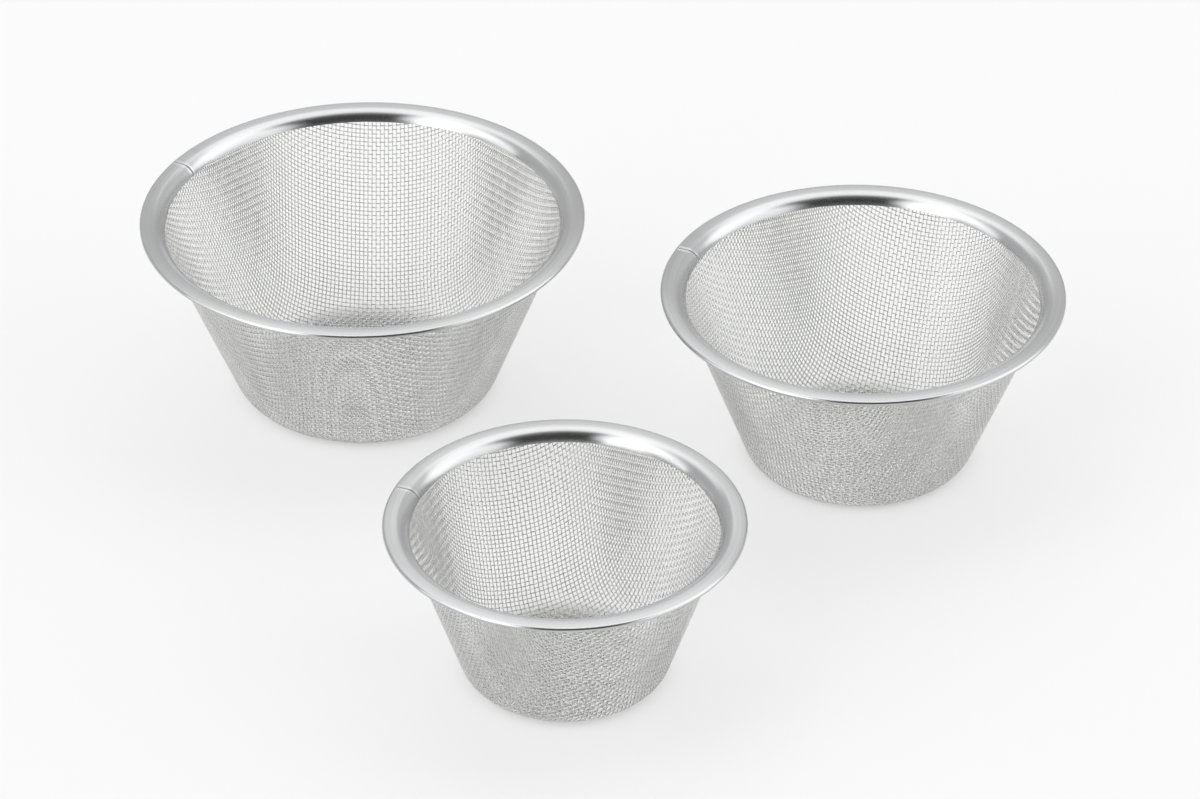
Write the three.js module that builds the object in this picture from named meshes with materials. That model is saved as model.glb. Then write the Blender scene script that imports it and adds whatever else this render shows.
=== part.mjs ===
// Nesting set of three wire colanders, each one basket of woven wire and one folded rim band.
// Units are millimetres and +Z is up. The set stands on the plane Z = 0, with its origin in the
// middle of the ground that the three rims cover.

import * as THREE from 'three';

// Woven wire cloth
const wireDiameter = 0.4;
const clothThickness = 2 * wireDiameter;

// Rim band, one strip section for every size
const bandSheet = 0.4;
const clampGap = 0.1;
const shoulderRadius = 5;
const flangeWidth = 4.4;
const collarDrop = 0.5;
const returnWidth = 3.4;

// Lapped joint of the band's two ends
const lapLength = 7;
const lapRamp = 30;

// The three sizes. wallAngle is the wall's slope from level, and footRadius is the outside radius
// of the bend between wall and base. seamAngle is where the band's upper end stops, seen from above.
const large = {
  name: 'large', rimDiameter: 165, height: 73.2, wallAngle: 68.5, footRadius: 11.8, seamAngle: 149.5,
};
const medium = {
  name: 'medium', rimDiameter: 147.5, height: 69.8, wallAngle: 69.2, footRadius: 8.7, seamAngle: 156,
};
const small = {
  name: 'small', rimDiameter: 125.5, height: 63, wallAngle: 71.4, footRadius: 10.2, seamAngle: 159.5,
};

// Places on the table: the free space between rims, and the bearing from the large colander
const mediumSpace = 33.3;
const mediumBearing = -14.2;
const smallSpace = 52.3;
const smallBearing = -67.4;

// Plain grid of openings in each basket, in place of the cloth's far finer mesh. Columns go round
// it and rows go up it. barShare is the bars' share of a column, and gridBar is the width of the
// bars between rows.
const gridColumns = 24;
const barShare = 1 / 3;
const gridBar = 3.5;
const hubRadius = 10;
const baseRows = 2;
const wallRows = 3;

// Facets of the round shapes
const footSteps = 4;
const shoulderSteps = 3;
const foldSteps = 4;

const radians = THREE.MathUtils.degToRad;

// Points of a circular arc in the section plane, where x is the radius and y is the height.
function arc(centre, radius, fromDegrees, toDegrees, steps) {
  const points = [];
  for (let i = 0; i <= steps; i += 1) {
    const angle = radians(fromDegrees + ((toDegrees - fromDegrees) * i) / steps);
    points.push(new THREE.Vector2(
      centre.x + radius * Math.cos(angle),
      centre.y + radius * Math.sin(angle),
    ));
  }
  return points;
}

// The point where the straight wall or collar, drawn down from the shoulder, has come to a height.
function wallPoint(size, shoulder, faceRadius, height) {
  const slope = radians(size.wallAngle);
  const topRadius = shoulder.x - faceRadius * Math.sin(slope);
  const topHeight = shoulder.y + faceRadius * Math.cos(slope);
  return new THREE.Vector2(topRadius - (topHeight - height) / Math.tan(slope), height);
}

// Centre of the shoulder bend. Band and cloth turn round it on one common centre.
function shoulderCentre(size) {
  return new THREE.Vector2(size.rimDiameter / 2 - flangeWidth, size.height - shoulderRadius);
}

// Radii of the cloth's upper and lower faces round the shoulder centre
const clothUpperRadius = shoulderRadius - bandSheet - clampGap;
const clothLowerRadius = clothUpperRadius - clothThickness;

// Half the thickness of the folded edge: two sheets with the cloth clamped between them
const foldRadius = bandSheet + clampGap + clothThickness / 2;

// Edges of the openings of some rows between two ends, where each row has a bar on both sides.
function rowEdges(start, end, rows) {
  const opening = (end - start - gridBar * (rows + 1)) / rows;
  const edges = [];
  for (let i = 0; i < rows; i += 1) {
    const openingStart = start + gridBar + i * (opening + gridBar);
    edges.push(openingStart, openingStart + opening);
  }
  return edges;
}

// Points of the basket's upper and lower face, side by side from the middle of the base outwards:
// base, foot bend, wall, shoulder bend and the edge clamped in the band. opens tells that the
// grid's openings lie between this pair of points and the next.
function basketPairs(size) {
  const shoulder = shoulderCentre(size);
  const slope = radians(size.wallAngle);
  const wallTurn = 90 + size.wallAngle;
  const wallAtFoot = wallPoint(size, shoulder, clothLowerRadius, size.footRadius);
  const foot = new THREE.Vector2(wallAtFoot.x - size.footRadius / Math.sin(slope), size.footRadius);
  const footTurn = size.wallAngle - 90;
  const clothEdge = size.rimDiameter / 2 - foldRadius;

  const base = [0, ...rowEdges(hubRadius - gridBar, foot.x, baseRows)].map((radius, i) => ({
    upper: new THREE.Vector2(radius, clothThickness),
    lower: new THREE.Vector2(radius, 0),
    opens: i % 2 === 1,
  }));
  const footLower = arc(foot, size.footRadius, -90, footTurn, footSteps);
  const footBend = arc(foot, size.footRadius - clothThickness, -90, footTurn, footSteps)
    .map((upper, i) => ({ upper, lower: footLower[i], opens: i > 0 && i < footSteps - 1 }));
  const shoulderLower = arc(shoulder, clothLowerRadius, wallTurn, 90, shoulderSteps);
  const shoulderBend = arc(shoulder, clothUpperRadius, wallTurn, 90, shoulderSteps)
    .map((upper, i) => ({ upper, lower: shoulderLower[i], opens: false }));
  const wallFoot = footBend[footSteps];
  const wallTop = shoulderBend[0];
  const wallLength = wallFoot.upper.distanceTo(wallTop.upper);
  const wall = rowEdges(0, wallLength, wallRows).map((way, i) => ({
    upper: wallFoot.upper.clone().lerp(wallTop.upper, way / wallLength),
    lower: wallFoot.lower.clone().lerp(wallTop.lower, way / wallLength),
    opens: i % 2 === 0,
  }));
  const edge = {
    upper: new THREE.Vector2(clothEdge, shoulder.y + clothUpperRadius),
    lower: new THREE.Vector2(clothEdge, shoulder.y + clothLowerRadius),
    opens: false,
  };
  return [...base, ...footBend, ...wall, ...shoulderBend, edge];
}

// Section of the rim band: collar, shoulder, flange, rolled edge and the return underneath.
// lift moves the whole strip outwards, for the end that lies over the other one. The collar ends
// collarDrop below the end of the shoulder's bend.
function bandSection(size, lift) {
  const shoulder = shoulderCentre(size);
  const wallTurn = 90 + size.wallAngle;
  const shoulderEnd = shoulder.y + shoulderRadius * Math.cos(radians(size.wallAngle));
  const collarHeight = shoulderEnd - collarDrop;
  const edge = new THREE.Vector2(size.rimDiameter / 2 - foldRadius, size.height - foldRadius);
  const outerShoulder = shoulderRadius + lift;
  const innerShoulder = outerShoulder - bandSheet;
  const outerFold = foldRadius + lift;
  const innerFold = outerFold - bandSheet;
  const returnEnd = edge.x - returnWidth;
  return [
    wallPoint(size, shoulder, innerShoulder, collarHeight),
    wallPoint(size, shoulder, outerShoulder, collarHeight),
    ...arc(shoulder, outerShoulder, wallTurn, 90, shoulderSteps),
    ...arc(edge, outerFold, 90, -90, foldSteps),
    new THREE.Vector2(returnEnd, edge.y - outerFold),
    new THREE.Vector2(returnEnd, edge.y - innerFold),
    ...arc(edge, innerFold, -90, 90, foldSteps),
    ...arc(shoulder, innerShoulder, 90, wallTurn, shoulderSteps),
  ];
}

// Angles of the lap and of the ramp that climbs onto it, in degrees round the rim.
function lapAngles(size) {
  const rimRadius = size.rimDiameter / 2;
  return {
    lap: THREE.MathUtils.radToDeg(lapLength / rimRadius),
    ramp: THREE.MathUtils.radToDeg(lapRamp / rimRadius),
  };
}

// Once round from the seam, an opening of the grid and a bar by turns. The last bar is the lap.
// Band and basket share these angles, so their facets lie side by side.
function ringAngles(size) {
  const { lap } = lapAngles(size);
  const column = (360 - lap) / (gridColumns - barShare);
  const angles = [];
  for (let i = 0; i < gridColumns; i += 1) {
    angles.push(-i * column, (barShare - 1 - i) * column);
  }
  return [...angles, -360];
}

// Stations of the band: it starts under the lap, goes once round, climbs the ramp smoothly and ends
// on top of its own start.
function bandStations(size) {
  const { lap, ramp } = lapAngles(size);
  const lapLift = bandSheet + clampGap;
  const rampStart = 360 - lap - ramp;
  const rampEnd = 360 - lap;
  const round = ringAngles(size).map((angle) => ({
    angle,
    lift: lapLift * THREE.MathUtils.smoothstep(-angle, rampStart, rampEnd),
  }));
  return [{ angle: lap, lift: 0 }, ...round];
}

// Strip of one section, carried round the axis through a list of angles and capped at both ends.
function sweptStrip(sections, angles) {
  const count = sections[0].length;
  const positions = [];
  sections.forEach((section, i) => {
    const turn = radians(angles[i]);
    section.forEach((point) => {
      positions.push(point.x * Math.cos(turn), point.x * Math.sin(turn), point.y);
    });
  });
  const indices = [];
  for (let i = 0; i < sections.length - 1; i += 1) {
    for (let j = 0; j < count; j += 1) {
      const a = i * count + j;
      const b = i * count + ((j + 1) % count);
      indices.push(a, a + count, b, b, a + count, b + count);
    }
  }
  const last = (sections.length - 1) * count;
  THREE.ShapeUtils.triangulateShape(sections[0], []).forEach(([a, b, c]) => {
    indices.push(a, c, b);
    indices.push(last + a, last + b, last + c);
  });
  return solidGeometry(positions, indices);
}

// Skin between two faces, carried once round the axis. In every other step the pairs that open
// leave an opening, which the skin's own thickness lines.
function openSkin(pairs, angles) {
  const steps = angles.length - 1;
  const positions = [];
  angles.slice(0, steps).forEach((angle) => {
    pairs.forEach(({ upper, lower }) => {
      [upper, lower].forEach((point) => {
        const turn = radians(angle);
        positions.push(point.x * Math.cos(turn), point.x * Math.sin(turn), point.y);
      });
    });
  });
  const upperAt = (i, j) => 2 * ((i % steps) * pairs.length + j);
  const isOpen = (i, j) => pairs[j].opens && i % 2 === 0;
  const indices = [];
  const addQuad = (a, b, c, d) => indices.push(a, b, c, a, c, d);
  const addLining = (from, to) => addQuad(from, from + 1, to + 1, to);
  for (let i = 0; i < steps; i += 1) {
    for (let j = 0; j < pairs.length - 1; j += 1) {
      const inner = upperAt(i, j);
      const innerNext = upperAt(i + 1, j);
      const outer = upperAt(i, j + 1);
      const outerNext = upperAt(i + 1, j + 1);
      const isEdge = j === pairs.length - 2;
      if (j === 0) {
        indices.push(inner, outerNext, outer, inner + 1, outer + 1, outerNext + 1);
      } else if (isOpen(i, j)) {
        if (!isOpen(i, j - 1)) addLining(innerNext, inner);
        if (!isOpen(i, j + 1)) addLining(outer, outerNext);
        addLining(inner, outer);
        addLining(outerNext, innerNext);
      } else {
        addQuad(inner, innerNext, outerNext, outer);
        addQuad(inner + 1, outer + 1, outerNext + 1, innerNext + 1);
        if (isEdge) addLining(outerNext, outer);
      }
    }
  }
  return solidGeometry(positions, indices);
}

function solidGeometry(positions, indices) {
  const geometry = new THREE.BufferGeometry();
  geometry.setAttribute('position', new THREE.Float32BufferAttribute(positions, 3));
  geometry.setIndex(indices);
  geometry.computeVertexNormals();
  return geometry;
}

function basketMesh(size) {
  const geometry = openSkin(basketPairs(size), ringAngles(size));
  const material = new THREE.MeshStandardMaterial({
    color: 0xa9aaab, roughness: 0.35, metalness: 1,
  });
  const mesh = new THREE.Mesh(geometry, material);
  mesh.name = `${size.name}_wire_basket`;
  mesh.rotation.z = radians(size.seamAngle);
  return mesh;
}

function bandMesh(size) {
  const stations = bandStations(size);
  const sections = stations.map((station) => bandSection(size, station.lift));
  const geometry = sweptStrip(sections, stations.map((station) => station.angle));
  const material = new THREE.MeshStandardMaterial({
    color: 0xb9bbbd, roughness: 0.25, metalness: 1,
  });
  const mesh = new THREE.Mesh(geometry, material);
  mesh.name = `${size.name}_rim_band`;
  mesh.rotation.z = radians(size.seamAngle);
  return mesh;
}

function colander(size) {
  const group = new THREE.Group();
  group.add(basketMesh(size), bandMesh(size));
  return group;
}

// Place of a colander's centre, from the large one's centre at zero.
function placeBeside(size, space, bearing) {
  const reach = large.rimDiameter / 2 + space + size.rimDiameter / 2;
  return new THREE.Vector3(
    reach * Math.cos(radians(bearing)),
    reach * Math.sin(radians(bearing)),
    0,
  );
}

const set = [
  { size: large, place: new THREE.Vector3(0, 0, 0) },
  { size: medium, place: placeBeside(medium, mediumSpace, mediumBearing) },
  { size: small, place: placeBeside(small, smallSpace, smallBearing) },
];

// Ground that the three rims cover, to put the origin in its middle
const ground = new THREE.Box2();
set.forEach(({ size, place }) => {
  const rimRadius = size.rimDiameter / 2;
  const centre = new THREE.Vector2(place.x, place.y);
  ground.expandByPoint(centre.clone().addScalar(rimRadius));
  ground.expandByPoint(centre.clone().addScalar(-rimRadius));
});
const middle = ground.getCenter(new THREE.Vector2());

const colanderSet = new THREE.Group();
set.forEach(({ size, place }) => {
  const one = colander(size);
  one.position.set(place.x - middle.x, place.y - middle.y, 0);
  colanderSet.add(one);
});

export default colanderSet;
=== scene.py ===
"""A nesting set of three wire colanders, each a bowl of woven wire cloth in a folded steel rim."""

import math

import bpy
import numpy as np
from mathutils import Matrix


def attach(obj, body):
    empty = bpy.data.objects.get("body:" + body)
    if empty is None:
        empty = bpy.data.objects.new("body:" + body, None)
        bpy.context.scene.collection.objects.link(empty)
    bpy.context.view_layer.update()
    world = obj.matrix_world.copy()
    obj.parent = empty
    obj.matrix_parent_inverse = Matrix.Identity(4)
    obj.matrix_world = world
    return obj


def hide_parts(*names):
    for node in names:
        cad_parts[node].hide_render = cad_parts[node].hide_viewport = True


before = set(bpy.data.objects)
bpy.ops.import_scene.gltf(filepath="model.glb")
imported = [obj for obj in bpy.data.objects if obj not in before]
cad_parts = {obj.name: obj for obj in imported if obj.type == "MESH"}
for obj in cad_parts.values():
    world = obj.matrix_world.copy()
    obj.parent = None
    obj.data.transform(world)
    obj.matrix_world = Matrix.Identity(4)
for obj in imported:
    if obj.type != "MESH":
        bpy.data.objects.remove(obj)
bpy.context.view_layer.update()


# Rim bands
#
# Each rim is one strip of stainless sheet, pressed to a short collar inside the bowl, a round
# shoulder and a flat flange. The flange's edge is folded under, back round the edge of the wire
# cloth, and the strip's two ends lap at the upper left.

mm = 0.001

band_sheet = 0.4 * mm
cloth_thickness = 0.8 * mm
clamp_gap = 0.1 * mm
shoulder_radius = 5 * mm
flange_width = 4.4 * mm
collar_drop = 0.5 * mm
return_width = 3.4 * mm
fold_radius = band_sheet + clamp_gap + cloth_thickness / 2

# How far a sheared edge is eased to each side, and the most of a short side that this may take
eased_edge = 0.07 * mm
most_eased = 0.3

# Straight steps in each bend of the strip's shown face and of its hidden face
shoulder_steps = {"shown": 12, "hidden": 10}
fold_steps = {"shown": 10, "hidden": 8}

# Both ends of the strip are pressed thin where they lap, so that the joint stays nearly flush. Each
# mark is the way round from the cut of the upper end, with how far the strip's shown face and its
# hidden face stand off the shown face's place there, all in millimetres.
lower_end = [(-7, -0.2, -0.4), (0, -0.2, -0.4), (0.7, 0.05, -0.4), (2.1, 0, -0.4)]
upper_end = [
    (-14, 0, -0.4), (-8, 0.03, -0.17), (-1.2, 0.03, -0.17), (-0.1, -0.02, -0.17),
    (-0.05, -0.03, -0.17), (-0.015, -0.05, -0.17), (0, -0.09, -0.17),
]

# Stretches of the strip with evenly spaced sections, by where they start and end as ways round from
# that cut, and how many sections they have. The whole sheet's stretch ends before the upper end's,
# and the last marks of the upper end, which round its cut, are sections too.
lower_stretches = [(-7, -3, 2), (0, 2.4, 25)]
whole_sheet_start, whole_sheet_end, whole_sheet_sections = 4, -15, 236
upper_stretches = [(-14, -8, 9), (-4, -4, 1), (-1.3, -0.1, 13)]
rounding_marks = 3

# Edges that turn by more than this many degrees shade as sharp edges
sharp_turn = 32

# The picture map of a strip leaves a margin round it, and shows its cut ends small
map_margin = 1.02
end_map_scale = 0.2

# Places and sizes in millimetres, and angles in degrees. wall_slope is measured from level, and
# seam is where the band's upper end stops, seen from above.
colanders = {
    "large": {
        "place": (-87.504, 81.316), "rim": 165, "height": 73.2, "wall_slope": 68.5, "seam": 152,
    },
    "medium": {
        "place": (96.254, 34.818), "rim": 147.5, "height": 69.8, "wall_slope": 69.2, "seam": 156.4,
    },
    "small": {
        "place": (-11.586, -101.066), "rim": 125.5, "height": 63, "wall_slope": 71.4, "seam": 160.3,
    },
}


def arc(centre, radius, start, end, steps):
    """Points of a circular arc in the section plane, x outwards and y up."""
    turn = np.radians(np.linspace(start, end, steps + 1))
    return np.stack([centre[0] + radius * np.cos(turn), centre[1] + radius * np.sin(turn)], axis=1)


def shoulder_centre(size):
    """Centre that the shoulder's bend turns round, in band and cloth alike."""
    return size["rim"] / 2 * mm - flange_width, size["height"] * mm - shoulder_radius


def wall_point(size, face_radius, height):
    """Where the straight wall or collar, drawn down from the shoulder, has come to a height."""
    centre = shoulder_centre(size)
    slope = math.radians(size["wall_slope"])
    top_radius = centre[0] - face_radius * math.sin(slope)
    top_height = centre[1] + face_radius * math.cos(slope)
    return top_radius - (top_height - height) / math.tan(slope), height


def ease(before, corner, after):
    """Two points that take the sharpness off a sheared edge."""
    corner = np.array(corner)
    points = []
    for neighbour in (np.array(before), np.array(after)):
        way = neighbour - corner
        points.append(corner + way * min(most_eased, eased_edge / np.linalg.norm(way)))
    return points


def band_section(size, outer, inner):
    """Closed section of the strip. Its two faces stand outer and inner off the shown face's place."""
    centre = shoulder_centre(size)
    slope = math.radians(size["wall_slope"])
    collar_end = centre[1] + shoulder_radius * math.cos(slope) - collar_drop
    edge = (size["rim"] / 2 * mm - fold_radius, size["height"] * mm - fold_radius)
    shown, hidden = shoulder_radius + outer, shoulder_radius + inner
    outer_fold, inner_fold = fold_radius + outer, fold_radius + inner
    wall_turn = 90 + size["wall_slope"]
    shown_face = [
        *arc(centre, shown, wall_turn, 90, shoulder_steps["shown"]),
        *arc(edge, outer_fold, 90, -90, fold_steps["shown"]),
    ]
    hidden_face = [
        *arc(edge, inner_fold, -90, 90, fold_steps["hidden"]),
        *arc(centre, hidden, 90, wall_turn, shoulder_steps["hidden"]),
    ]
    collar = [wall_point(size, hidden, collar_end), wall_point(size, shown, collar_end)]
    turned_in = [
        (edge[0] - return_width, edge[1] - outer_fold),
        (edge[0] - return_width, edge[1] - inner_fold),
    ]
    return np.array([
        *ease(hidden_face[-1], collar[0], collar[1]),
        *ease(collar[0], collar[1], shown_face[0]),
        *shown_face,
        *ease(shown_face[-1], turned_in[0], turned_in[1]),
        *ease(turned_in[0], turned_in[1], hidden_face[0]),
        *hidden_face,
    ])


def band_stations(size):
    """Angles of the sections with the places of both faces, from under the lap once round to its top."""
    round_it = math.pi * size["rim"]
    marks = lower_end + [(round_it + way, *faces) for way, *faces in upper_end]
    at, outer, inner = np.array(marks).T
    ways = np.concatenate([
        *(np.linspace(*stretch) for stretch in lower_stretches),
        np.linspace(whole_sheet_start, round_it + whole_sheet_end, whole_sheet_sections),
        *(round_it + np.linspace(*stretch) for stretch in upper_stretches),
        at[-rounding_marks:],
    ])
    before = np.clip(np.searchsorted(at, ways, side="right") - 1, 0, len(at) - 2)
    share = np.clip((ways - at[before]) / (at[before + 1] - at[before]), 0, 1)
    share = 3 * share**2 - 2 * share**3
    faces = [face[before] + (face[before + 1] - face[before]) * share for face in (outer, inner)]
    return size["seam"] + ways / round_it * 360, faces[0] * mm, faces[1] * mm


def mesh_from_faces(name, points, corners, face_sizes):
    """A smooth-shaded mesh, from an array of points and one flat list of face corners."""
    mesh = bpy.data.meshes.new(name)
    mesh.vertices.add(len(points))
    mesh.vertices.foreach_set("co", np.ascontiguousarray(points, dtype=np.float32).ravel())
    mesh.loops.add(len(corners))
    mesh.loops.foreach_set("vertex_index", np.ascontiguousarray(corners, dtype=np.int32))
    mesh.polygons.add(len(face_sizes))
    starts = np.concatenate([[0], np.cumsum(face_sizes)[:-1]])
    mesh.polygons.foreach_set("loop_start", starts.astype(np.int32))
    mesh.update(calc_edges=True)
    mesh.shade_smooth()
    return mesh


def add_map(mesh, name, places):
    """A UV map with one place for each face corner."""
    layer = mesh.uv_layers.new(name=name)
    layer.data.foreach_set("uv", np.ascontiguousarray(places, dtype=np.float32).ravel())


def add_piece(name, mesh, material, body, node):
    """A piece of the set, which rides on its colander and stands for a solid of the model."""
    piece = bpy.data.objects.new(name, mesh)
    mesh.materials.append(material)
    bpy.context.scene.collection.objects.link(piece)
    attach(piece, body)
    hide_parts(node)


def band_mesh(name, size):
    """The strip swept once round, with its cut ends closed, and a map of the flat strip."""
    angles, outer, inner = band_stations(size)
    turn = np.radians(angles)
    sections = np.array([band_section(size, *faces) for faces in zip(outer, inner)])
    count = sections.shape[1]
    points = np.stack([
        size["place"][0] * mm + sections[:, :, 0] * np.cos(turn)[:, None],
        size["place"][1] * mm + sections[:, :, 0] * np.sin(turn)[:, None],
        sections[:, :, 1],
    ], axis=2).reshape(-1, 3)

    ring = np.arange(len(turn) - 1)[:, None] * count
    here, after = np.arange(count)[None, :], (np.arange(count)[None, :] + 1) % count
    quads = np.stack([ring + here, ring + after, ring + count + after, ring + count + here], axis=2)
    last = (len(turn) - 1) * count
    ends = [np.arange(count)[::-1], last + np.arange(count)]
    corners = np.concatenate([quads.ravel(), *ends])
    face_sizes = np.concatenate([np.full(quads.shape[0] * count, 4), [count, count]])
    mesh = mesh_from_faces(name, points, corners, face_sizes)

    # Along the strip and across it, in metres
    along = turn * size["rim"] / 2 * mm
    along -= along.min()
    step = np.linalg.norm(np.roll(sections[0], -1, axis=0) - sections[0], axis=1)
    across = np.concatenate([[0], np.cumsum(step)])
    u = np.stack([along[:-1], along[:-1], along[1:], along[1:]], axis=1)[:, None, :]
    v = np.stack([across[:-1], across[1:], across[1:], across[:-1]], axis=1)[None, :, :]
    strip = np.stack(np.broadcast_arrays(u, v), axis=3).reshape(-1, 2)
    strip = np.concatenate([strip, sections[0][::-1] * end_map_scale, sections[-1] * end_map_scale])
    add_map(mesh, "strip", strip)
    add_map(mesh, "OFBake", strip / [along.max() * map_margin, across.max() * map_margin])
    mesh.set_sharp_from_angle(angle=math.radians(sharp_turn))
    return mesh


def node_tree_of(material):
    """The material's own nodes."""
    material.use_nodes = True
    return material.node_tree


def feed(tree, socket, value):
    """Sets a socket to a plain value, or links it to another node's output."""
    if isinstance(value, bpy.types.NodeSocket):
        tree.links.new(value, socket)
    else:
        socket.default_value = value


def calculate(tree, operation, *values, clamp=False):
    """Result of one sum on numbers and other nodes' outputs."""
    node = tree.nodes.new("ShaderNodeMath")
    node.operation = operation
    node.use_clamp = clamp
    for socket, value in zip(node.inputs, values):
        feed(tree, socket, value)
    return node.outputs[0]


def spread(tree, source, low, high, from_low=0.3, from_high=0.7, smooth=False):
    """A mask spread over a range of values."""
    node = tree.nodes.new("ShaderNodeMapRange")
    node.interpolation_type = "SMOOTHSTEP" if smooth else "LINEAR"
    feed(tree, node.inputs["From Min"], from_low)
    feed(tree, node.inputs["From Max"], from_high)
    feed(tree, node.inputs["To Min"], low)
    feed(tree, node.inputs["To Max"], high)
    feed(tree, node.inputs["Value"], source)
    return node.outputs["Result"]


def blend_colours(tree, mask, first, second):
    """A colour between two, from the first where the mask is 0 to the second where it is 1."""
    blend = tree.nodes.new("ShaderNodeMix")
    blend.data_type = "RGBA"
    blend.inputs["A"].default_value = (*first, 1)
    blend.inputs["B"].default_value = (*second, 1)
    tree.links.new(mask, blend.inputs["Factor"])
    return blend.outputs["Result"]


def noise(tree, place, scale, detail):
    """Even noise at a place, as a value from 0 to 1."""
    node = tree.nodes.new("ShaderNodeTexNoise")
    node.inputs["Scale"].default_value = scale
    node.inputs["Detail"].default_value = detail
    tree.links.new(place, node.inputs["Vector"])
    return node.outputs["Fac"]


def turned_grain_group():
    """Fine scratches that run along a strip, from coordinates in metres."""
    group = bpy.data.node_groups.new("Turned grain", "ShaderNodeTree")
    group.interface.new_socket("Along and across", in_out="INPUT", socket_type="NodeSocketVector")
    for socket in ("Scratch length", "Scratch width"):
        group.interface.new_socket(socket, in_out="INPUT", socket_type="NodeSocketFloat")
    for socket in ("Scratches", "Haze"):
        group.interface.new_socket(socket, in_out="OUTPUT", socket_type="NodeSocketFloat")
    given = group.nodes.new("NodeGroupInput").outputs
    result = group.nodes.new("NodeGroupOutput").inputs
    parts = group.nodes.new("ShaderNodeSeparateXYZ")
    group.links.new(given["Along and across"], parts.inputs[0])
    stretched = group.nodes.new("ShaderNodeCombineXYZ")
    for axis, size in enumerate(("Scratch length", "Scratch width")):
        scaled = calculate(group, "DIVIDE", parts.outputs[axis], given[size])
        group.links.new(scaled, stretched.inputs[axis])
    scratches = noise(group, stretched.outputs[0], scale=1, detail=3)
    haze = noise(group, stretched.outputs[0], scale=0.08, detail=2)
    group.links.new(scratches, result["Scratches"])
    group.links.new(haze, result["Haze"])
    return group


def polished_band_steel():
    """Bright stainless sheet, with the fine grain of its polishing running round the rim."""
    material = bpy.data.materials.new("Polished band steel")
    tree = node_tree_of(material)
    steel = tree.nodes["Principled BSDF"]
    steel.inputs["Metallic"].default_value = 1
    steel.inputs["Anisotropic"].default_value = 0.95
    steel.inputs["Anisotropic Rotation"].default_value = 0.25
    strip = tree.nodes.new("ShaderNodeUVMap")
    strip.uv_map = "strip"
    grain = tree.nodes.new("ShaderNodeGroup")
    grain.node_tree = turned_grain_group()
    grain.inputs["Scratch length"].default_value = 18 * mm
    grain.inputs["Scratch width"].default_value = 0.16 * mm
    tree.links.new(strip.outputs["UV"], grain.inputs["Along and across"])
    haze = spread(tree, grain.outputs["Haze"], 0, 1)
    tone = blend_colours(tree, haze, (0.54, 0.545, 0.555), (0.59, 0.59, 0.59))
    tree.links.new(tone, steel.inputs["Base Color"])
    rough = spread(tree, grain.outputs["Scratches"], 0.19, 0.23)
    tree.links.new(rough, steel.inputs["Roughness"])
    relief = tree.nodes.new("ShaderNodeBump")
    relief.inputs["Strength"].default_value = 0.25
    relief.inputs["Distance"].default_value = 0.004 * mm
    tree.links.new(grain.outputs["Scratches"], relief.inputs["Height"])
    tree.links.new(relief.outputs["Normal"], steel.inputs["Normal"])
    along = tree.nodes.new("ShaderNodeTangent")
    along.direction_type = "UV_MAP"
    along.uv_map = "strip"
    tree.links.new(along.outputs["Tangent"], steel.inputs["Tangent"])
    return material


band_steel = polished_band_steel()
for name, size in colanders.items():
    mesh = band_mesh(f"{name}_rim", size)
    add_piece(
        f"{name}_rim", mesh, band_steel, f"{name}_colander", f"{name}_rim_band",
    )


# Wire baskets
#
# Each basket is one disc of plain-weave stainless wire cloth, pressed to a bowl over a die. The
# wires keep their pitch and turn at their crossings, so the square mesh of the base shears to long
# diamonds up the wall between the four places where the wires run straight up.

wire_diameter = 0.4 * mm
wire_pitch = 1.5875 * mm
wire_sides = 6

# A wire passes over each crossing with its middle this far off the cloth's middle surface, and
# keeps that height for this far to each side
crimp = 0.19 * mm
knuckle = 0.1 * mm

# Rounds of search for the place of a crossing on the middle wires and on the others, the longest
# step of a round in pitches, and crossings that are laid past the disc's edge
spine_rounds = 6
crossing_rounds = 12
longest_step = 0.5
spare_crossings = 8

# Rounds that ease the turns of the wires
easing_rounds = 60

# A wire's picture map covers this share of its row, and its cut ends are this wide there
wire_map_share = 0.9
cut_map_radius = 0.3

# foot is the outside radius of the bend between wall and base, and weave_turn is how far the cloth
# is turned from the set's own axes. parts is how many pieces each way of the weave is made in.
cloths = {
    "large": {"foot": 11.8, "weave_turn": -1.9, "parts": 3},
    "medium": {"foot": 8.7, "weave_turn": -23, "parts": 2},
    "small": {"foot": 10.2, "weave_turn": 22.4, "parts": 2},
}


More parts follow.
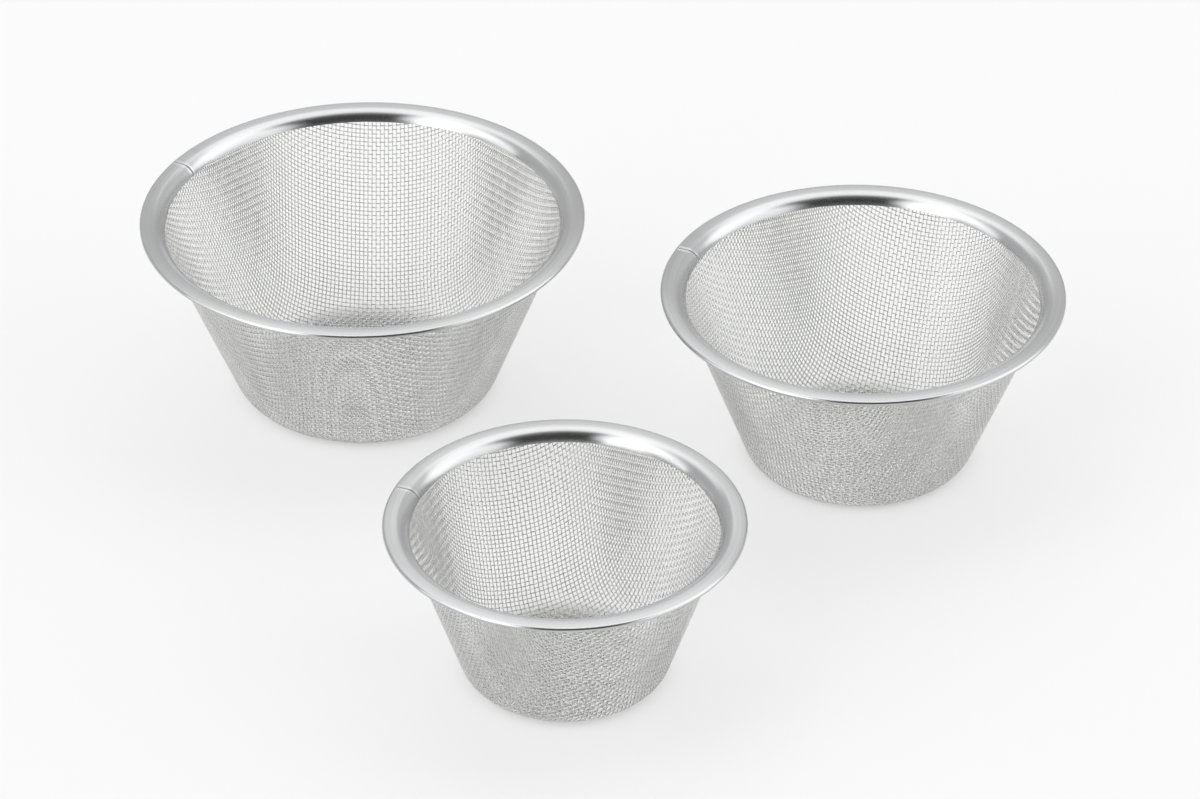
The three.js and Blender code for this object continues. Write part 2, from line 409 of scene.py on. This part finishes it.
class ClothProfile:
    """Middle surface of the cloth, by the way along it from the middle of the base."""

    def __init__(self, size, foot):
        half = cloth_thickness / 2
        upper = shoulder_radius - band_sheet - clamp_gap
        self.slope = math.radians(size["wall_slope"])
        self.shoulder = shoulder_centre(size)
        self.shoulder_turn = upper - half
        self.foot_turn = foot - half
        at_foot = wall_point(size, upper - cloth_thickness, foot)[0]
        self.foot = (at_foot - foot / math.sin(self.slope), foot)
        lean = np.array([math.sin(self.slope), -math.cos(self.slope)])
        self.wall_start = np.array(self.foot) + self.foot_turn * lean
        self.wall_end = np.array(self.shoulder) - self.shoulder_turn * lean
        edge = size["rim"] / 2 * mm - fold_radius
        self.ways = np.cumsum([
            self.foot[0],
            self.foot_turn * self.slope,
            np.linalg.norm(self.wall_end - self.wall_start),
            self.shoulder_turn * self.slope,
            edge - self.shoulder[0],
        ])

    def at(self, way):
        """Radius, height and the surface normal's two parts."""
        base, foot, wall, shoulder, _ = self.ways
        foot_angle = np.clip((way - base) / self.foot_turn, 0, self.slope)
        shoulder_angle = self.slope - np.clip((way - wall) / self.shoulder_turn, 0, self.slope)
        up_wall = np.clip((way - foot) / (wall - foot), 0, 1)
        radius = (
            np.minimum(way, base)
            + self.foot_turn * np.sin(foot_angle)
            + up_wall * (self.wall_end - self.wall_start)[0]
            + self.shoulder_turn * (math.sin(self.slope) - np.sin(shoulder_angle))
            + np.maximum(way - shoulder, 0)
        )
        height = (
            self.foot[1]
            - self.foot_turn * np.cos(foot_angle)
            + up_wall * (self.wall_end - self.wall_start)[1]
            + self.shoulder_turn * (np.cos(shoulder_angle) - math.cos(self.slope))
        )
        lean = np.minimum(foot_angle, shoulder_angle)
        return radius, height, -np.sin(lean), np.cos(lean)

    def surface(self, flat):
        """Points and normals for places in the flat disc, kept by bearing and way from its middle."""
        way = np.hypot(flat[..., 0], flat[..., 1]) + 1e-12
        radius, height, outwards, upwards = self.at(way)
        east, north = flat[..., 0] / way, flat[..., 1] / way
        points = np.stack([radius * east, radius * north, height], axis=-1)
        normals = np.stack([outwards * east, outwards * north, upwards], axis=-1)
        return points, normals


def spine(profile, count):
    """Ways up the bowl of the crossings on a wire through the middle, one pitch apart."""
    ways = [0.0]
    for _ in range(count - 1):
        way = ways[-1] + wire_pitch
        here = np.array(profile.at(np.array(ways[-1]))[:2])
        for _ in range(spine_rounds):
            chord = np.linalg.norm(np.array(profile.at(np.array(way))[:2]) - here)
            way += wire_pitch - chord
        ways.append(way)
    return np.array(ways)


def lay_quarter(profile, count):
    """Crossings of a quarter of the cloth, laid so that each is one pitch from its neighbours."""
    quarter = np.zeros((count, count, 2))
    ways = spine(profile, count)
    quarter[:, 0, 0] = ways
    quarter[0, :, 1] = ways
    nudge = 1e-7
    for diagonal in range(2, 2 * count - 1):
        i = np.arange(max(1, diagonal - count + 1), min(count - 1, diagonal - 1) + 1)
        j = diagonal - i
        before, beside = quarter[i - 1, j], quarter[i, j - 1]
        before_point, beside_point = profile.surface(before)[0], profile.surface(beside)[0]
        place = before + beside - quarter[i - 1, j - 1]
        for _ in range(crossing_rounds):
            point = profile.surface(place)[0]
            east = (profile.surface(place + [nudge, 0])[0] - point) / nudge
            north = (profile.surface(place + [0, nudge])[0] - point) / nudge
            to_before, to_beside = point - before_point, point - beside_point
            miss_a = (to_before**2).sum(-1) - wire_pitch**2
            miss_b = (to_beside**2).sum(-1) - wire_pitch**2
            a, b = 2 * (to_before * east).sum(-1), 2 * (to_before * north).sum(-1)
            c, d = 2 * (to_beside * east).sum(-1), 2 * (to_beside * north).sum(-1)
            scale = a * d - b * c
            scale = np.where(np.abs(scale) < 1e-9, 1e-9, scale)
            step = np.stack([(d * miss_a - b * miss_b), (a * miss_b - c * miss_a)], axis=-1)
            step /= scale[:, None]
            length = np.linalg.norm(step, axis=-1, keepdims=True)
            longest = longest_step * wire_pitch
            place = place - step * np.minimum(1, longest / np.maximum(length, 1e-12))
        quarter[i, j] = place
    return quarter


def lay_cloth(profile):
    """All crossings of the cloth, as places in the flat disc, from the quarter and its mirrors.

    The wires are stiff, so the turns that strict pin joints would give them are eased out.
    """
    count = int(profile.ways[-1] / wire_pitch) + spare_crossings
    quarter = lay_quarter(profile, count)
    line = np.arange(-count + 1, count)
    cloth = quarter[np.abs(line)[:, None], np.abs(line)[None, :]]
    cloth = cloth * np.stack(np.broadcast_arrays(
        np.where(line < 0, -1, 1)[:, None], np.where(line < 0, -1, 1)[None, :],
    ), axis=-1)
    for _ in range(easing_rounds):
        across = cloth[2:, 1:-1] + cloth[:-2, 1:-1]
        along = cloth[1:-1, 2:] + cloth[1:-1, :-2]
        cloth[1:-1, 1:-1] = (across + along) / 4
    return cloth


def wire_rings(profile, cloth, over):
    """Centre points, surface normals and a mask for two rings a crossing, one wire to a row."""
    reach = knuckle / wire_pitch
    ahead, behind = np.roll(cloth, -1, axis=1), np.roll(cloth, 1, axis=1)
    flat = np.stack([cloth + (behind - cloth) * reach, cloth + (ahead - cloth) * reach], axis=2)
    flat = flat.reshape(len(cloth), -1, 2)[:, 1:-1]
    count = cloth.shape[0]
    parity = (np.arange(count)[:, None] + np.arange(count)[None, :]) % 2
    lift = np.repeat(np.where(parity == 0, crimp, -crimp) * over, 2, axis=1)[:, 1:-1]

    # Each wire is cut off where it passes the edge of the disc
    edge = profile.ways[-1]
    way = np.hypot(flat[..., 0], flat[..., 1])
    held = way <= edge
    for shift in (1, -1):
        inner_held, inner_way = np.roll(held, shift, axis=1), np.roll(way, shift, axis=1)
        ends = inner_held & (way > edge)
        ends[:, 0 if shift == 1 else -1] = False
        share = ((edge - inner_way) / np.maximum(way - inner_way, 1e-12))[..., None]
        cut = np.roll(flat, shift, axis=1) * (1 - share) + flat * share
        cut_lift = np.roll(lift, shift, axis=1) * (1 - share[..., 0]) + lift * share[..., 0]
        flat = np.where(ends[..., None], cut, flat)
        lift = np.where(ends, cut_lift, lift)
        way = np.where(ends, edge, way)
    held = way <= edge + 1e-9
    points, normals = profile.surface(flat)
    return points + normals * lift[..., None], normals, held


def wire_mesh(name, size, turn, rings, seed):
    """Round wires through the rings, with closed ends, and a map of the wires side by side."""
    centres, normals, held = rings
    ahead, behind = np.roll(centres, -1, axis=1), np.roll(centres, 1, axis=1)
    has_ahead = held & np.roll(held, -1, axis=1)
    has_ahead[:, -1] = False
    has_behind = held & np.roll(held, 1, axis=1)
    has_behind[:, 0] = False
    along = (
        np.where(has_ahead[..., None], ahead, centres)
        - np.where(has_behind[..., None], behind, centres)
    )
    along /= np.maximum(np.linalg.norm(along, axis=-1, keepdims=True), 1e-12)
    out = normals - (normals * along).sum(-1, keepdims=True) * along
    out /= np.linalg.norm(out, axis=-1, keepdims=True)
    beside = np.cross(along, out)

    number = np.cumsum(held.ravel()).reshape(held.shape) - 1
    angle = np.arange(wire_sides) * 2 * math.pi / wire_sides
    round_wire = (
        out[held][:, None, :] * np.cos(angle)[None, :, None]
        + beside[held][:, None, :] * np.sin(angle)[None, :, None]
    )
    skin = centres[held][:, None, :] + round_wire * wire_diameter / 2
    bearing = math.radians(turn)
    turned = np.array([
        [math.cos(bearing), math.sin(bearing), 0], [-math.sin(bearing), math.cos(bearing), 0], [0, 0, 1],
    ])
    points = skin.reshape(-1, 3) @ turned + [size["place"][0] * mm, size["place"][1] * mm, 0]

    side = np.arange(wire_sides)
    after = (side + 1) % wire_sides
    ring = number[has_ahead][:, None] * wire_sides
    quads = np.stack([
        ring + side, ring + after, ring + wire_sides + after, ring + wire_sides + side,
    ], axis=2)
    start, end = number[held & ~has_behind], number[held & ~has_ahead]
    start_caps = start[:, None] * wire_sides + side[None, ::-1]
    end_caps = end[:, None] * wire_sides + side[None, :]
    corners = np.concatenate([quads.ravel(), start_caps.ravel(), end_caps.ravel()])
    face_sizes = np.concatenate([
        np.full(len(ring) * wire_sides, 4), np.full(len(start) + len(end), wire_sides),
    ])
    mesh = mesh_from_faces(name, points, corners, face_sizes)
    # The normals of a round wire, which bends evenly over each knuckle
    mesh.normals_split_custom_set_from_vertices(round_wire.reshape(-1, 3) @ turned)

    rows, columns = held.shape
    row, column = np.nonzero(has_ahead)
    v0 = (row[:, None] + side / wire_sides * wire_map_share) / rows
    v1 = (row[:, None] + (side + 1) / wire_sides * wire_map_share) / rows
    u0 = np.broadcast_to((column / columns)[:, None], v0.shape)
    u1 = np.broadcast_to(((column + 1) / columns)[:, None], v0.shape)
    places = np.stack([
        np.stack([u0, v0], axis=-1), np.stack([u0, v1], axis=-1),
        np.stack([u1, v1], axis=-1), np.stack([u1, v0], axis=-1),
    ], axis=2).reshape(-1, 2)
    cap_turn = np.stack([np.cos(angle), np.sin(angle)], axis=1) * cut_map_radius / rows
    caps = []
    for which, order in ((held & ~has_behind, slice(None, None, -1)), (held & ~has_ahead, slice(None))):
        row, column = np.nonzero(which)
        middle = np.stack([column / columns, (row + wire_map_share / 2) / rows], axis=1)
        caps.append((middle[:, None, :] + cap_turn[order][None]).reshape(-1, 2))
    add_map(mesh, "OFBake", np.concatenate([places, *caps]))

    draw = np.random.default_rng(seed).random(rows)
    tone = mesh.attributes.new("wire_tone", "FLOAT", "POINT")
    wire_of_ring = np.nonzero(held)[0]
    tone.data.foreach_set("value", np.repeat(draw[wire_of_ring], wire_sides).astype(np.float32))
    return mesh


def drawn_wire_steel():
    """Bright drawn stainless wire. Each wire has a tone of its own, with faint marks along it."""
    material = bpy.data.materials.new("Drawn wire steel")
    tree = node_tree_of(material)
    steel = tree.nodes["Principled BSDF"]
    steel.inputs["Metallic"].default_value = 1
    wire = tree.nodes.new("ShaderNodeAttribute")
    wire.attribute_name = "wire_tone"
    place = tree.nodes.new("ShaderNodeTexCoord")
    marks = noise(tree, place.outputs["Object"], scale=900, detail=2)
    both = calculate(tree, "ADD", wire.outputs["Fac"], marks)
    tone = blend_colours(
        tree, spread(tree, both, 0, 1, from_low=0.4, from_high=1.6),
        (0.68, 0.68, 0.68), (0.81, 0.81, 0.8),
    )
    tree.links.new(tone, steel.inputs["Base Color"])
    tree.links.new(spread(tree, marks, 0.2, 0.28), steel.inputs["Roughness"])
    return material


wire_steel = drawn_wire_steel()
for number, (name, cloth_size) in enumerate(cloths.items()):
    size = colanders[name]
    profile = ClothProfile(size, cloth_size["foot"] * mm)
    cloth = lay_cloth(profile)
    for way, over in (("warp", 1), ("weft", -1)):
        rows = cloth if way == "warp" else cloth.transpose(1, 0, 2)
        centres, normals, held = wire_rings(profile, rows, over)
        share = np.cumsum(held.sum(axis=1)) / held.sum()
        for part in range(cloth_size["parts"]):
            low, high = part / cloth_size["parts"], (part + 1) / cloth_size["parts"]
            mine = (share > low) & (share <= high + 1e-9) & held.any(axis=1)
            piece_name = f"{name}_{way}_wires_{part + 1}"
            mesh = wire_mesh(
                piece_name, size, cloth_size["weave_turn"],
                (centres[mine], normals[mine], held[mine]), seed=100 * number + 10 * over + part + 20,
            )
            add_piece(
                piece_name, mesh, wire_steel,
                f"{name}_colander", f"{name}_wire_basket",
            )


# Table
#
# A plain white sweep of matt board, on which the three stand loose. Its colour is painted grey close
# under the bases, a painted shade where hardly any light reaches it, and in the open it glows part of
# its white, a painted light that keeps the shadows there faint.

table_half = 3.0
shade_reach = 8 * mm
# Brightness of the board's painted white glow, the share of it that the camera sees in the open, and how
# much of it the steel mirrors
plain_white = 0.97
painted_glow_share = 0.68
painted_glow_in_steel = 0.4

table_mesh = bpy.data.meshes.new("table")
table_mesh.from_pydata(
    [(-table_half, -table_half, 0), (table_half, -table_half, 0),
     (table_half, table_half, 0), (-table_half, table_half, 0)],
    [], [(0, 1, 2, 3)],
)
table = bpy.data.objects.new("table", table_mesh)
bpy.context.scene.collection.objects.link(table)


def white_board_with_painted_shade():
    """Matt white board, painted grey as painted shade under the bases, which glows part of its white as
    painted light to whatever looks at it in the open.
    """
    material = bpy.data.materials.new("White board")
    tree = node_tree_of(material)
    board = tree.nodes["Principled BSDF"]
    board.inputs["Roughness"].default_value = 0.9
    board.inputs["Specular IOR Level"].default_value = 0.1

    # How open the board is to the light from the front, least right under the bases
    open_above = tree.nodes.new("ShaderNodeAmbientOcclusion")
    open_above.samples = 8
    open_above.inputs["Distance"].default_value = shade_reach
    to_the_light = tree.nodes.new("ShaderNodeCombineXYZ")
    to_the_light.inputs["Y"].default_value = -0.7
    to_the_light.inputs["Z"].default_value = 0.7
    tree.links.new(to_the_light.outputs[0], open_above.inputs["Normal"])
    openness = spread(tree, open_above.outputs["AO"], 0.05, 0.85, from_low=0.45, from_high=0.9)
    # Painted shade: the board's colour is white in the open and grey where it is least open, under the
    # bases
    tone = blend_colours(tree, openness, (0.6, 0.6, 0.6), (0.9, 0.9, 0.9))
    tree.links.new(tone, board.inputs["Base Color"])

    # Over half of what the camera sees of the open board is a painted white glow, painted light that
    # keeps shadows as faint there as on a board lit from all sides, and that fades under the bases. The
    # steel mirrors some of that glow too.
    seen = tree.nodes.new("ShaderNodeLightPath").outputs
    looked_at = calculate(
        tree, "MULTIPLY_ADD", seen["Is Glossy Ray"], painted_glow_in_steel, seen["Is Camera Ray"],
        clamp=True,
    )
    share = calculate(tree, "MULTIPLY", looked_at, openness)
    painted_white_glow = tree.nodes.new("ShaderNodeEmission")
    painted_white_glow.inputs["Color"].default_value = (plain_white, plain_white, plain_white, 1)
    both = tree.nodes.new("ShaderNodeMixShader")
    tree.links.new(calculate(tree, "MULTIPLY", share, painted_glow_share), both.inputs["Fac"])
    tree.links.new(board.outputs["BSDF"], both.inputs[1])
    tree.links.new(painted_white_glow.outputs["Emission"], both.inputs[2])
    tree.links.new(both.outputs["Shader"], tree.nodes["Material Output"].inputs["Surface"])
    return material


table_mesh.materials.append(white_board_with_painted_shade())


# Studio
#
# A pale room round the sweep, with one wide soft light overhead that starts over the far wall. White
# screens stand left and right of the camera and the room is dark behind it, as the rims mirror.

# The far wall is grey, and the light starts sharply over it. Each stop is a height in degrees and
# the brightness there. Off to the sides the wall reaches less high, by a dip that grows with the
# square of the way sideways, up to a limit.
heights = [(32.4, 0.6), (34.6, 1.45), (43, 1.4), (48, 1.5), (54, 1.6), (62, 1.7)]
side_dip = 0.5
most_squared = 0.17

# A colour ramp holds no more than 1, so the brightness is kept in it divided by this
ramp_scale = 2

# Brightness, then where the screen starts and ends over the set in degrees and how soft that is,
# and where it starts and ends sideways, each with its softness. Each covers those before it.
screens = {
    "grey left of the far wall": (0.72, 26, 42.5, 2.5, -0.6, 0.1, -0.13, 0.05),
    "grey right of the far wall": (0.72, 26, 42.5, 2.5, 0.1, 0.05, 0.9, 0.1),
    "paler grey farther right": (0.85, 26, 56, 5, 0.32, 0.08, 0.8, 0.1),
    "dark room behind the camera": (0.22, 164, 200, 8, -0.7, 0.15, 0.8, 0.15),
    "grey left wall": (0.66, -20, 80, 14, -1.6, 0.1, -0.42, 0.14),
    "dark ceiling over the camera": (0.05, 95, 171, 5, -0.3, 0.08, 0.56, 0.12),
    "white screen at the left": (2.3, 92, 176, 10, -0.82, 0.08, -0.43, 0.08),
    "white screen at the right": (1.5, 90, 190, 9, 0.68, 0.12, 1.6, 0.1),
    "soft light at the right": (1.8, 54, 114, 12, 0.7, 0.12, 1.6, 0.1),
}

# The lowest part of the sweep behind the set, which the steel mirrors: the heights between which it
# fades out, in degrees, and the squares of the ways sideways between which it does
sweep_white = 0.96
sweep_fade_up = (14, 24)
sweep_fade_sideways = (0.02, 0.12)

world = bpy.data.worlds.new("Studio")
bpy.context.scene.world = world
world.use_nodes = True
sky = world.node_tree


def soft_screen_group():
    """Mask of a soft-edged screen, between two angles over the set and two places sideways."""
    group = bpy.data.node_groups.new("Soft screen", "ShaderNodeTree")
    for socket in (
        "Arch", "Sideways", "Arch start", "Arch end", "Arch blur",
        "Side start", "Side start blur", "Side end", "Side end blur",
    ):
        group.interface.new_socket(socket, in_out="INPUT", socket_type="NodeSocketFloat")
    group.interface.new_socket("Mask", in_out="OUTPUT", socket_type="NodeSocketFloat")
    given = group.nodes.new("NodeGroupInput").outputs
    result = group.nodes.new("NodeGroupOutput").inputs

    def edge(place, at, blur, before, after):
        low = calculate(group, "SUBTRACT", given[at], given[blur])
        high = calculate(group, "ADD", given[at], given[blur])
        return spread(group, given[place], before, after, low, high, smooth=True)

    over_the_set = calculate(
        group, "MULTIPLY",
        edge("Arch", "Arch start", "Arch blur", 0, 1), edge("Arch", "Arch end", "Arch blur", 1, 0),
    )
    across_it = calculate(
        group, "MULTIPLY",
        edge("Sideways", "Side start", "Side start blur", 0, 1),
        edge("Sideways", "Side end", "Side end blur", 1, 0),
    )
    group.links.new(calculate(group, "MULTIPLY", over_the_set, across_it), result["Mask"])
    return group


def mix_values(tree, mask, first, second):
    """A value between two, from the first where the mask is 0 to the second where it is 1."""
    node = tree.nodes.new("ShaderNodeMix")
    feed(tree, node.inputs["Factor"], mask)
    feed(tree, node.inputs["A"], first)
    feed(tree, node.inputs["B"], second)
    return node.outputs["Result"]


direction = sky.nodes.new("ShaderNodeTexCoord")
towards = sky.nodes.new("ShaderNodeSeparateXYZ")
sky.links.new(direction.outputs["Generated"], towards.inputs[0])
sideways, away, upwards = towards.outputs

# Angle over the set, from the far horizon through overhead to the camera's side
turn_over = calculate(sky, "ARCTAN2", upwards, away)
arch = calculate(sky, "MULTIPLY", turn_over, 180 / math.pi)

ceiling = sky.nodes.new("ShaderNodeValToRGB")
while len(ceiling.color_ramp.elements) < len(heights):
    ceiling.color_ramp.elements.new(0.5)
for element, (height, grey) in zip(ceiling.color_ramp.elements, heights):
    element.position = math.sin(math.radians(height))
    element.color = (grey / ramp_scale, grey / ramp_scale, grey / ramp_scale, 1)
rise = calculate(sky, "SINE", turn_over)
squared = calculate(sky, "MULTIPLY", sideways, sideways)
limited = calculate(sky, "MINIMUM", squared, most_squared)
sky.links.new(calculate(sky, "MULTIPLY_ADD", limited, side_dip, rise), ceiling.inputs[0])
brightness = calculate(sky, "MULTIPLY", ceiling.outputs["Color"], ramp_scale)

soft_screen = soft_screen_group()
for grey, *extent in screens.values():
    screen = sky.nodes.new("ShaderNodeGroup")
    screen.node_tree = soft_screen
    sky.links.new(arch, screen.inputs["Arch"])
    sky.links.new(sideways, screen.inputs["Sideways"])
    for socket, value in zip(
        ("Arch start", "Arch end", "Arch blur",
         "Side start", "Side start blur", "Side end", "Side end blur"),
        extent,
    ):
        screen.inputs[socket].default_value = value
    brightness = mix_values(sky, screen.outputs["Mask"], brightness, grey)

# Past the board's edge the camera sees more of the white sweep, and nothing of the room
low_down = spread(sky, arch, 1, 0, *sweep_fade_up, smooth=True)
straight_behind = spread(sky, squared, 1, 0, *sweep_fade_sideways, smooth=True)
mirrored = calculate(sky, "MULTIPLY", low_down, straight_behind)
looked_past = sky.nodes.new("ShaderNodeLightPath").outputs
sees_sweep = calculate(
    sky, "MULTIPLY_ADD", looked_past["Is Glossy Ray"], mirrored, looked_past["Is Camera Ray"],
    clamp=True,
)
background = sky.nodes["Background"]
background.inputs["Color"].default_value = (1, 1, 1, 1)
sky.links.new(mix_values(sky, sees_sweep, brightness, sweep_white), background.inputs["Strength"])


# Camera
#
# The photograph's view: a long lens 1.9 m away, which looks down on the set. Places are in metres
# and angles in degrees.

camera_place = (0.0005, -1.5743, 1.102)
looks_down = 33.872
leans = -0.056

camera_data = bpy.data.cameras.new("camera")
camera_data.sensor_width = 36.0
camera_data.lens = 157.62
camera_data.clip_start = 0.05
camera_data.clip_end = 30
camera = bpy.data.objects.new("camera", camera_data)
camera.location = camera_place
tilt = Matrix.Rotation(math.radians(90 - looks_down), 4, "X")
camera.rotation_euler = (tilt @ Matrix.Rotation(math.radians(leans), 4, "Z")).to_euler()
bpy.context.scene.collection.objects.link(camera)
bpy.context.scene.camera = camera
bpy.context.scene.view_settings.view_transform = "Standard"
